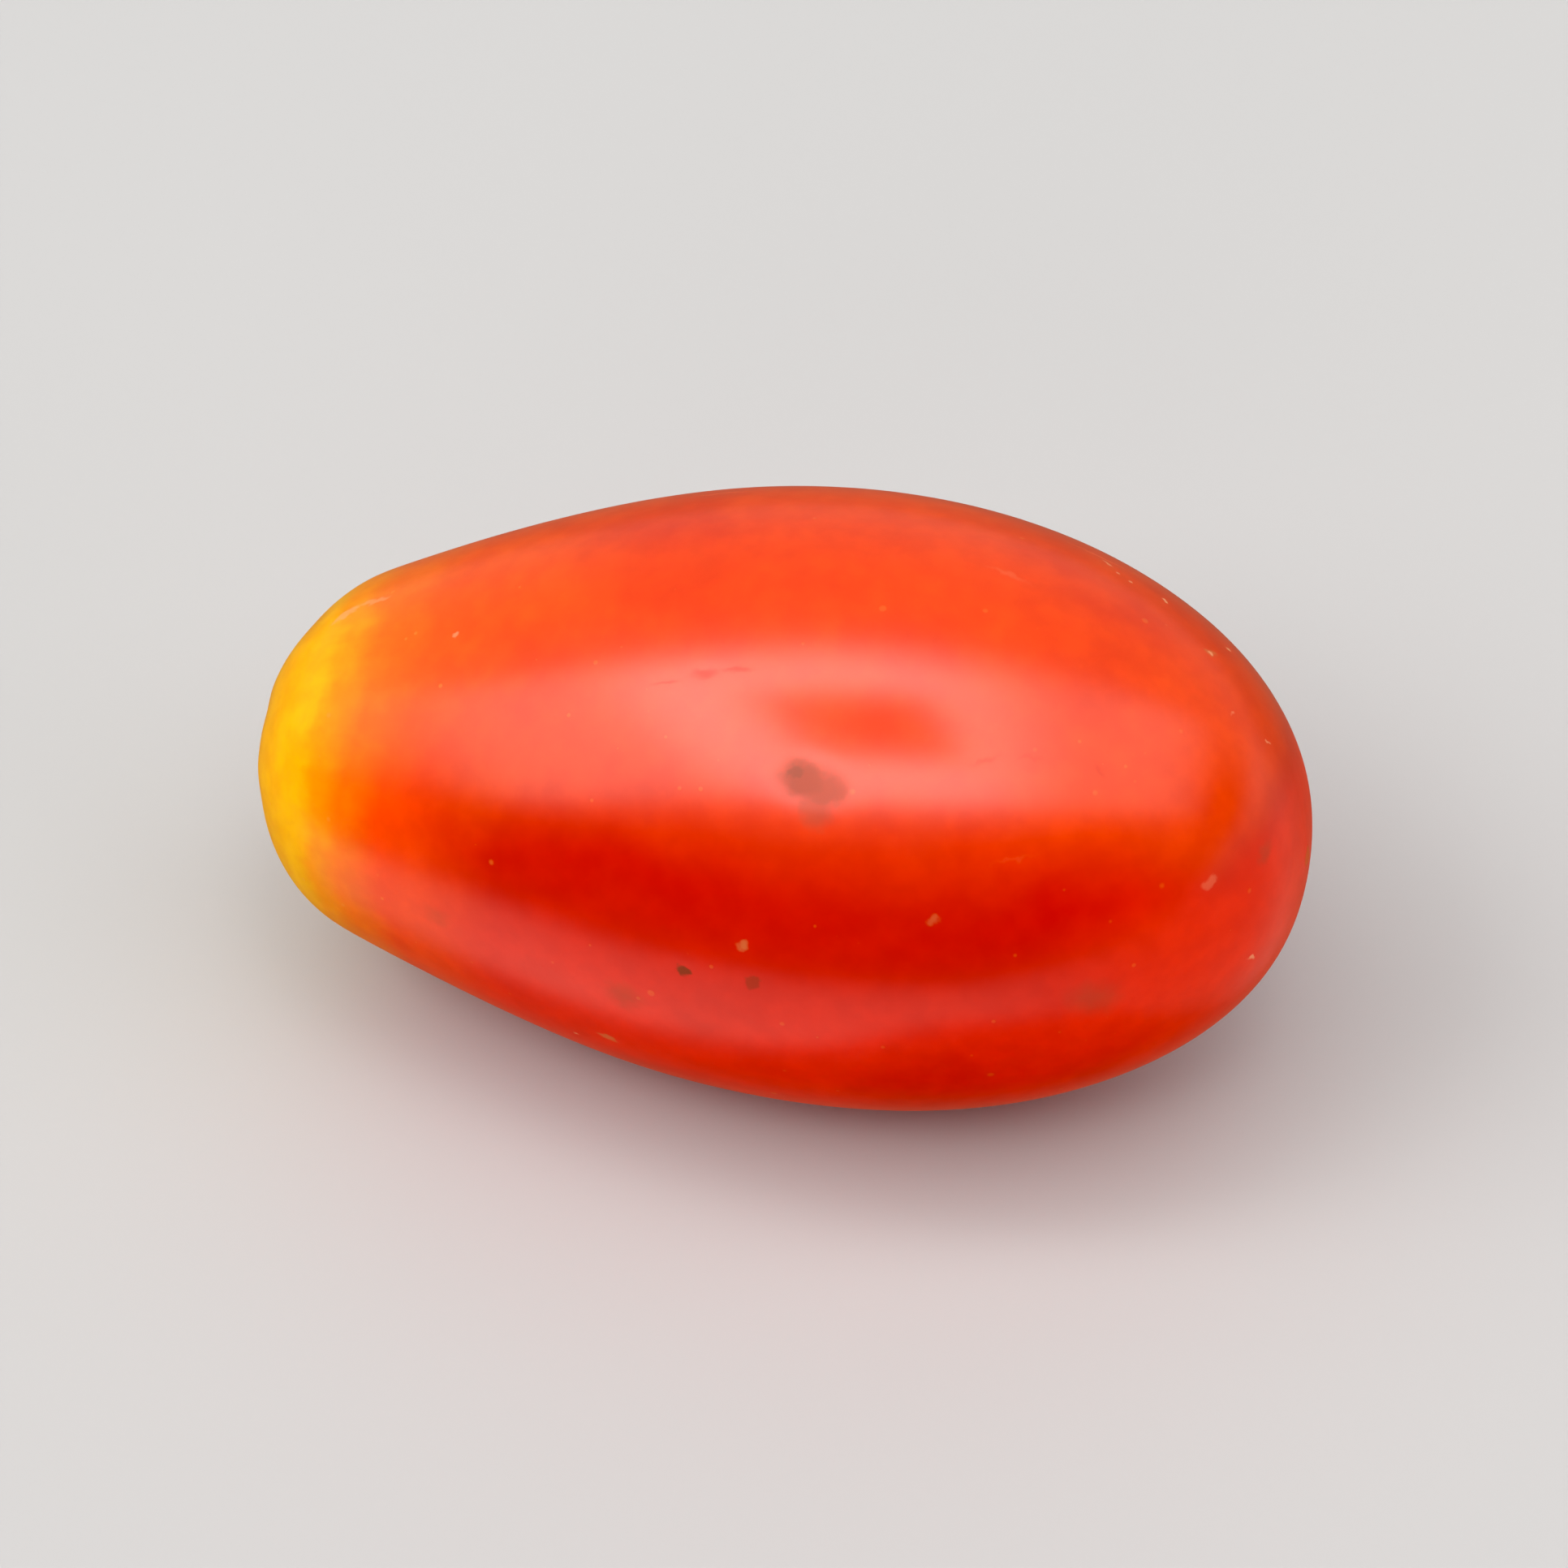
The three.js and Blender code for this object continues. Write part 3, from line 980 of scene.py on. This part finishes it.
@dataclass
class Fruit:
    """The fruit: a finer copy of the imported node, with its small shapes worked into the skin.

    Lengths are in millimetres, and angles in degrees.

    Attributes:
        node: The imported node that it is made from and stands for.
        merge: Distance within which the copy's corners are merged.
        flat_angle: Largest angle between two triangles that are joined.
        shape_angle: How far a joined face's corners may be from right angles.
        levels: How many times the copy is refined.
        wave_size: Width of the skin's broad unevenness.
        wave_height: Its height.
        wave_stretch: How much it is drawn out along the fruit.
        scar_radius: Radius of the corky disc.
        scar_grain: Height of the disc's crumbs.
        crumb_size: Their width.
        lip_radius: Radius of the torn skin round the disc.
        lip_width: How wide it is on either side.
        lip_rag: How uneven it is.
        pucker_count: How many faint folds run out from the stem end.
        pucker_height: Their height.
        pucker_drift: How unevenly they are spread round it.
        pucker_start: Radius at which they have their full height.
        pucker_reach: How far they run.
        dent_reach: How many times a mark's own size its dent is.
        dent_depth: How far under a mark's middle its dent can reach.
        flat_fade: Height over the table below which the skin stays as packed.
    """

    node: bpy.types.Object
    merge: float = 0.002
    flat_angle: float = 40.0
    shape_angle: float = 60.0
    levels: int = 2
    wave_size: float = 9.0
    wave_height: float = 0.05
    wave_stretch: float = 0.6
    scar_radius: float = 1.05
    scar_grain: float = 0.07
    crumb_size: float = 0.3
    lip_radius: float = 1.17
    lip_width: float = 0.16
    lip_rag: float = 0.06
    pucker_count: int = 7
    pucker_height: float = 0.035
    pucker_drift: float = 3.0
    pucker_start: float = 2.4
    pucker_reach: float = 5.0
    dent_reach: float = 1.3
    dent_depth: float = 2.0
    flat_fade: float = 1.2

    def base(self) -> bpy.types.Mesh:
        """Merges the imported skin, and joins its pairs of triangles into four-sided faces.

        Returns:
            The base skin.
        """
        copy = self.node.data.copy()
        if "custom_normal" in copy.attributes:
            copy.attributes.remove(copy.attributes["custom_normal"])
        bm = bmesh.new()
        bm.from_mesh(copy)
        bmesh.ops.remove_doubles(bm, verts=bm.verts, dist=self.merge * MM)
        bmesh.ops.join_triangles(
            bm,
            faces=bm.faces,
            angle_face_threshold=math.radians(self.flat_angle),
            angle_shape_threshold=math.radians(self.shape_angle),
        )
        mesh = bpy.data.meshes.new("tomato_base")
        bm.to_mesh(mesh)
        bm.free()
        bpy.data.meshes.remove(copy)
        quads = sum(len(p.vertices) == 4 for p in mesh.polygons)
        log.info("base skin: %d quads of %d faces", quads, len(mesh.polygons))
        return mesh

    def find_axes(self, mesh: bpy.types.Mesh) -> FruitAxes:
        """Finds the scar and the tip, where the most edges of the base skin meet.

        Args:
            mesh: The base skin.

        Returns:
            The fruit's axes.
        """
        meetings = [0] * len(mesh.vertices)
        for edge in mesh.edges:
            for index in edge.vertices:
                meetings[index] += 1
        ends = sorted(range(len(meetings)), key=meetings.__getitem__)[-2:]
        stem, blossom = sorted((mesh.vertices[i].co.copy() for i in ends), key=lambda co: co.x)
        return FruitAxes(stem, blossom)

    def refine(self, mesh: bpy.types.Mesh) -> bpy.types.Object:
        """Refines the base skin with a subdivision surface, and applies it.

        Args:
            mesh: The base skin.

        Returns:
            The piece.
        """
        coarse = bpy.data.objects.new("tomato_coarse", mesh)
        bpy.context.scene.collection.objects.link(coarse)
        surface = coarse.modifiers.new("refine", "SUBSURF")
        surface.levels = self.levels
        surface.render_levels = self.levels
        graph = bpy.context.evaluated_depsgraph_get()
        fine = bpy.data.meshes.new_from_object(coarse.evaluated_get(graph))
        bpy.data.objects.remove(coarse)
        piece = bpy.data.objects.new("tomato_fruit", fine)
        bpy.context.scene.collection.objects.link(piece)
        fine.shade_smooth()
        return piece

    def relief(self, place: Vector) -> float:
        """How far the skin stands out of its smooth shape.

        Args:
            place: A place on the skin in the fruit's axes, in millimetres.

        Returns:
            The height, in millimetres.
        """
        radius = math.hypot(place.y, place.z)
        long_way = Vector((place.x * self.wave_stretch, place.y, place.z)) / self.wave_size
        height = self.wave_height * noise.fractal(long_way, 1.0, 2.0, 2)
        if place.x > self.pucker_reach:
            return height
        roll = math.atan2(place.z, place.y)
        uneven = round_noise(roll, layer=4.0, lumps=1.4)
        fold = math.cos(self.pucker_count * roll + self.pucker_drift * uneven)
        folded = ease(radius, self.lip_radius, self.pucker_start) * ease(place.x, self.pucker_reach, 0.5)
        height += self.pucker_height * fold * folded
        if radius < self.scar_radius:
            crumbs = noise.fractal(place / self.crumb_size, 0.8, 2.0, 3)
            height += self.scar_grain * crumbs * ease(radius, self.scar_radius, 0.8)
        rag = round_noise(roll, layer=9.0, lumps=3.2)
        return height + self.lip_rag * rag * ease(abs(radius - self.lip_radius), self.lip_width, 0.0)

    def sculpt(self, piece: bpy.types.Object, axes: FruitAxes, surface: BVHTree) -> None:
        """Works the small shapes into the fine skin.

        Args:
            piece: The fine skin.
            axes: The fruit's axes.
            surface: The base skin, on which the marks are placed.
        """
        dents = [(mark, *mark_place(axes, surface, mark)) for mark in MARKS if mark.dent]
        bm = bmesh.new()
        bm.from_mesh(piece.data)
        bm.normal_update()
        moves = []
        for vertex in bm.verts:
            place = axes.enter(vertex.co)
            height = self.relief(place)
            for mark, centre, stand in dents:
                local = stand.transposed() @ (place - centre)
                far = math.hypot(local.x * 2 / mark.length, local.y * 2 / mark.width)
                if local.z > -self.dent_depth and far < self.dent_reach:
                    height -= mark.dent * ease(far, self.dent_reach, 0.2)
            height *= ease(vertex.co.z / MM, 0.0, self.flat_fade)
            moves.append(vertex.normal * height * MM)
        for vertex, move in zip(bm.verts, moves):
            vertex.co += move
            vertex.co.z = max(vertex.co.z, 0.0)
        bm.to_mesh(piece.data)
        bm.free()

    def build(self) -> bpy.types.Object:
        """Makes the fruit, finishes it, and puts it in the frame.

        Returns:
            The piece.
        """
        mesh = self.base()
        axes = self.find_axes(mesh)
        sides = [tuple(p.vertices) for p in mesh.polygons]
        surface = BVHTree.FromPolygons([v.co.copy() for v in mesh.vertices], sides)
        piece = self.refine(mesh)
        self.sculpt(piece, axes, surface)
        piece.data.materials.clear()
        piece.data.materials.append(SkinFinish(axes, surface).make())
        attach(piece, BODY)
        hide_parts(NODE)
        log.info("axes: %.1f mm from the stem scar to the blossom end", axes.length)
        return piece


@dataclass
class Table:
    """The pale table that the fruit lies on.

    Attributes:
        reach: Half its side, in metres.
        clearance: How far it is below the fruit, so that the two don't share a plane.
        colour: Its colour.
        roughness: Its roughness.
    """

    reach: float = 12.0
    clearance: float = 0.02 * MM
    colour: Colour = (0.53, 0.526, 0.521)
    roughness: float = 0.6

    def build(self) -> bpy.types.Object:
        """Makes the table.

        Returns:
            The table.
        """
        bm = bmesh.new()
        drop = Matrix.Translation((0.0, 0.0, -self.clearance))
        bmesh.ops.create_grid(bm, x_segments=1, y_segments=1, size=self.reach, matrix=drop)
        mesh = bpy.data.meshes.new("table")
        bm.to_mesh(mesh)
        bm.free()
        table = bpy.data.objects.new("table", mesh)
        bpy.context.scene.collection.objects.link(table)
        material = bpy.data.materials.new("pale_table")
        material.use_nodes = True
        bench = NodeBench(material.node_tree)
        shader = bench.add("BsdfPrincipled")
        bench.feed(shader.inputs["Base Color"], self.colour)
        bench.feed(shader.inputs["Roughness"], self.roughness)
        bench.feed(bench.add("OutputMaterial").inputs["Surface"], shader.outputs[0])
        mesh.materials.append(material)
        table.visible_glossy = False
        return table


@dataclass(frozen=True)
class SoftSheet:
    """A level sheet of soft light over the table, with a dim patch where the camera hangs.

    Each span is measured one metre up, in metres from the fruit: X to the camera's right and Y
    away from the camera. A pair gives where the light starts to change and where it has changed.

    Attributes:
        brightness: Radiance of its bright middle.
        sweep: How fast the front edge comes forward, past its corner on the left.
        corner: Place along X of that corner.
        slant: How fast the left end moves along X with Y.
        bow: How fast the back edge moves away, past the middle on either side.
        left_wing: Share of that brightness at its left side.
        right_wing: Share of that brightness at its right side.
        front: Where it rises, towards the camera.
        back: Where it falls, behind the fruit.
        left: Where its wing rises.
        right: Where its wing falls.
        middle_left: Where its bright middle rises.
        middle_right: Where its bright middle falls.
        patch_left: Where the dim patch begins.
        patch_right: Where the dim patch ends.
        patch_front: Where the dim patch begins.
        patch_back: Where the dim patch ends.
        patch_depth: How much darker the patch is.
    """

    brightness: float = 4.4
    sweep: float = 0.13
    corner: float = -1.0
    slant: float = 1.5
    bow: float = 0.13
    left_wing: float = 0.41
    right_wing: float = 0.3
    front: Span = (-1.03, -0.8)
    back: Span = (0.0, 0.34)
    left: Span = (-2.6, -1.75)
    right: Span = (0.9, 2.7)
    middle_left: Span = (-1.15, -0.68)
    middle_right: Span = (-0.2, 0.52)
    patch_left: Span = (-0.59, -0.46)
    patch_right: Span = (-0.09, 0.07)
    patch_front: Span = (-0.62, -0.42)
    patch_back: Span = (-0.16, 0.02)
    patch_depth: float = 1.0

    def shine(self, bench: NodeBench, across: Any, away: Any) -> Any:
        """The sheet's radiance.

        Args:
            bench: Where nodes are added.
            across: Place along X, one metre up.
            away: Place along Y, one metre up.

        Returns:
            The radiance.
        """
        past_corner = bench.maths("MINIMUM", bench.maths("SUBTRACT", across, self.corner), 0.0)
        swept = bench.maths("MULTIPLY_ADD", past_corner, -self.sweep, away)
        slanted = bench.maths("MULTIPLY_ADD", away, -self.slant, across)
        bowed = bench.maths("MULTIPLY_ADD", bench.maths("POWER", across, 2.0), -self.bow, away)
        depth = bench.product(bench.eased(swept, *self.front), bench.eased(bowed, *self.back[::-1]))
        width = bench.product(bench.eased(slanted, *self.left), bench.eased(across, *self.right[::-1]))
        left = bench.between(bench.eased(across, *self.middle_left), self.left_wing, 1.0)
        right = bench.between(bench.eased(across, *self.middle_right[::-1]), self.right_wing, 1.0)
        patch = bench.product(
            bench.plateau(across, self.patch_left, self.patch_right),
            bench.plateau(away, self.patch_front, self.patch_back),
        )
        uncovered = bench.between(patch, 1.0, 1.0 - self.patch_depth)
        return bench.product(depth, width, bench.product(left, right), uncovered, self.brightness)


@dataclass(frozen=True)
class LowGlow:
    """Soft light that the gloss picks up from below eye level, in front and at both sides.

    Places are shares of a direction of length 1: X to the camera's right, Y away from the camera
    and Z up. A pair gives where something starts to change and where it has changed.

    Attributes:
        brightness: Its radiance.
        top: Z where it starts on the left.
        top_slope: How fast that rises with X, on the right.
        top_right: Z where it would start at X = 0, on the right.
        top_fade: Over how much of Z it comes to its full strength.
        bottom: Z where it ends on the left and on the right.
        bottom_lift: How much higher it ends in front.
        bottom_fade: Over how much of Z it ends.
        ahead_left: X where the front begins.
        ahead_right: X where the front ends.
        rightward: X where the right side begins.
        back_left: Y where it has ended on the left.
        back_right: Y where it has ended on the right.
        back_fade: Over how much of Y it ends.
        middle: Share of the brightness in front.
        right: Share of the brightness on the right.
    """

    brightness: float = 1.75
    top: float = -0.3
    top_slope: float = 0.45
    top_right: float = -0.25
    top_fade: float = 0.2
    bottom: float = -0.95
    bottom_lift: float = 0.22
    bottom_fade: float = 0.16
    ahead_left: Span = (-0.34, -0.1)
    ahead_right: Span = (0.3, 0.52)
    rightward: Span = (-0.2, 0.6)
    back_left: float = 0.15
    back_right: float = 0.6
    back_fade: float = 0.4
    middle: float = 1.05
    right: float = 0.3

    def shine(self, bench: NodeBench, x: Any, y: Any, z: Any) -> Any:
        """The glow's radiance.

        Args:
            bench: Where nodes are added.
            x: Share of the direction to the right.
            y: Share of it away from the camera.
            z: Share of it upwards.

        Returns:
            The radiance.
        """
        climbing = bench.maths("MULTIPLY_ADD", x, self.top_slope, self.top_right)
        top = bench.maths("MAXIMUM", climbing, self.top)
        below_top = bench.eased(bench.maths("SUBTRACT", top, z), 0.0, self.top_fade)
        ahead = bench.plateau(x, self.ahead_left, self.ahead_right)
        bottom = bench.between(ahead, self.bottom, self.bottom + self.bottom_lift)
        over_bottom = bench.eased(bench.maths("SUBTRACT", z, bottom), 0.0, self.bottom_fade)
        right = bench.eased(x, *self.rightward)
        back = bench.between(right, self.back_left, self.back_right)
        before_back = bench.eased(bench.maths("SUBTRACT", back, y), 0.0, self.back_fade)
        level = bench.product(bench.between(ahead, 1.0, self.middle), bench.between(right, 1.0, self.right))
        return bench.product(below_top, over_bottom, before_back, level, self.brightness)


@dataclass(frozen=True)
class FillLight:
    """A large soft light that brightens one side and doesn't show in the gloss.

    Attributes:
        name: What it is called.
        azimuth: Where it stands, in degrees from the -Y side towards +X.
        elevation: How high it stands, in degrees.
        brightness: Its radiance.
        distance: How far from the fruit it is, in metres.
        side: Length of its side, in metres.
    """

    name: str
    azimuth: float
    elevation: float
    brightness: float
    distance: float = 4.8
    side: float = 4.8

    def hang(self) -> bpy.types.Object:
        """Hangs the light so that it faces the fruit.

        Returns:
            The light.
        """
        lamp = bpy.data.lights.new(self.name, "AREA")
        lamp.shape = "SQUARE"
        lamp.size = self.side
        lamp.energy = math.pi * self.side**2 * self.brightness
        light = bpy.data.objects.new(self.name, lamp)
        bpy.context.scene.collection.objects.link(light)
        away = heading(self.azimuth, self.elevation)
        light.location = away * self.distance
        light.rotation_euler = away.to_track_quat("Z", "Y").to_euler()
        light.visible_glossy = False
        light.visible_camera = False
        return light


FILLS: tuple[FillLight, ...] = (
    FillLight("fill_left", -75.0, 30.0, 0.65),
    FillLight("fill_front", 0.0, 12.0, 1.5, side=3.2),
    FillLight("fill_right", 75.0, 14.0, 1.6, side=3.2),
    FillLight("fill_back", 190.0, 35.0, 0.3),
)


@dataclass
class Studio:
    """Plain soft light: a wide sheet overhead, and a room that is dark in front and pale behind.

    Attributes:
        azimuth: How far the rig is turned from the -Y side towards +X, in degrees.
        sheet: The light overhead.
        glow: The light that the gloss picks up lower down.
        room_front: Radiance of the room on the camera's side.
        room_back: Radiance of the room behind the fruit.
        room_low: Radiance of the room below eye level, behind the fruit.
        high_colour: Colour of the light from above.
        room_colour: Colour of the room below eye level.
        glow_colour: Colour of the low glow.
        backdrop: Brightness of the room as the camera sees it.
        lowest: Height share below which the sheet doesn't reach.
        behind: Share of a direction away from the camera, where the room turns pale.
        eye_level: Height share where the room's low part ends.
        low_light: Height share where the light takes its low colours.
    """

    azimuth: float
    sheet: SoftSheet = SoftSheet()
    glow: LowGlow = LowGlow()
    room_front: float = 0.03
    room_back: float = 0.36
    room_low: float = 0.4
    high_colour: Colour = (1.0, 0.99, 0.98)
    room_colour: Colour = (1.0, 0.42, 0.27)
    glow_colour: Colour = (1.0, 0.8, 0.66)
    backdrop: float = 0.75
    lowest: float = 0.12
    behind: Span = (-0.2, 0.5)
    eye_level: Span = (-0.2, 0.1)
    low_light: Span = (0.1, -0.12)

    def build(self) -> None:
        """Lights the room."""
        world = bpy.data.worlds.new("studio")
        world.use_nodes = True
        bench = NodeBench(world.node_tree)
        rig = bench.add("VectorRotate", rotation_type="Z_AXIS")
        bench.feed(rig.inputs["Vector"], bench.add("TexCoord").outputs["Generated"])
        bench.feed(rig.inputs["Angle"], -math.radians(self.azimuth))
        x, y, z = bench.parts(rig.outputs[0])
        height = bench.maths("MAXIMUM", z, self.lowest)
        across = bench.maths("DIVIDE", x, height)
        away = bench.maths("DIVIDE", y, height)
        overhead = bench.eased(z, self.lowest, 2.0 * self.lowest)
        sheet = bench.product(self.sheet.shine(bench, across, away), overhead)
        far = bench.between(bench.eased(z, *self.eye_level), self.room_low, self.room_back)
        paler = bench.product(bench.eased(y, *self.behind), bench.maths("SUBTRACT", far, self.room_front))
        room = bench.maths("ADD", paler, self.room_front)
        glow = self.glow.shine(bench, x, y, z)
        everywhere = bench.maths("ADD", sheet, bench.maths("ADD", room, glow))
        low = bench.eased(z, *self.low_light)
        tint = bench.mixed(glow, self.room_colour, self.glow_colour)
        light = bench.add("Background")
        bench.feed(light.inputs["Color"], bench.mixed(low, self.high_colour, tint))
        bench.feed(light.inputs["Strength"], everywhere)
        pale = bench.add("Background")
        bench.feed(pale.inputs["Color"], WHITE)
        bench.feed(pale.inputs["Strength"], self.backdrop)
        either = bench.add("MixShader")
        bench.feed(either.inputs[0], bench.add("LightPath").outputs["Is Camera Ray"])
        bench.feed(either.inputs[1], light.outputs[0])
        bench.feed(either.inputs[2], pale.outputs[0])
        bench.feed(bench.add("OutputWorld").inputs["Surface"], either.outputs[0])
        bpy.context.scene.world = world
        for fill in FILLS:
            fill.hang()


@dataclass
class Viewpoint:
    """The camera.

    Attributes:
        azimuth: Where it stands, in degrees from the -Y side towards +X.
        elevation: How high it looks down from, in degrees.
        distance: How far it is from the middle of the fruit, in metres.
        lens: Its focal length, in millimetres.
        sensor: Width of its sensor, in millimetres.
        nearest: Distance from which it sees, in metres.
    """

    azimuth: float = 12.5
    elevation: float = 45.0
    distance: float = 0.323
    lens: float = 195.0
    sensor: float = 36.0
    nearest: float = 0.01

    def build(self) -> bpy.types.Object:
        """Makes the camera, and makes it the scene's own.

        Returns:
            The camera.
        """
        low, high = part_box(NODE)
        away = heading(self.azimuth, self.elevation)
        data = bpy.data.cameras.new("camera")
        data.lens = self.lens
        data.sensor_width = self.sensor
        data.clip_start = self.nearest
        camera = bpy.data.objects.new("camera", data)
        bpy.context.scene.collection.objects.link(camera)
        camera.location = (low + high) / 2 + away * self.distance
        camera.rotation_euler = away.to_track_quat("Z", "Y").to_euler()
        bpy.context.scene.camera = camera
        return camera


def develop() -> None:
    """Sets how light becomes picture values: a plain curve with a slightly raised black point."""
    view = bpy.context.scene.view_settings
    view.view_transform = "Standard"
    view.use_curve_mapping = True
    view.curve_mapping.black_level = (BLACK_POINT,) * 3
    view.curve_mapping.update()


def main() -> None:
    """Builds the scene in order: the camera, the light, the table and the fruit."""
    logging.basicConfig(level=logging.INFO)
    view = Viewpoint()
    camera = view.build()
    log.info("%s: %.0f mm lens, %.3f m away", camera.name, view.lens, view.distance)
    Studio(azimuth=view.azimuth + RIG_TURN).build()
    log.info("studio: overhead light, low glow and %d fills", len(FILLS))
    table = Table()
    floor = table.build()
    log.info("%s: %.0f m across", floor.name, 2.0 * table.reach)
    fruit = Fruit(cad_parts[NODE]).build()
    log.info("%s: %d faces", fruit.name, len(fruit.data.polygons))
    develop()


if __name__ == "__main__":
    main()
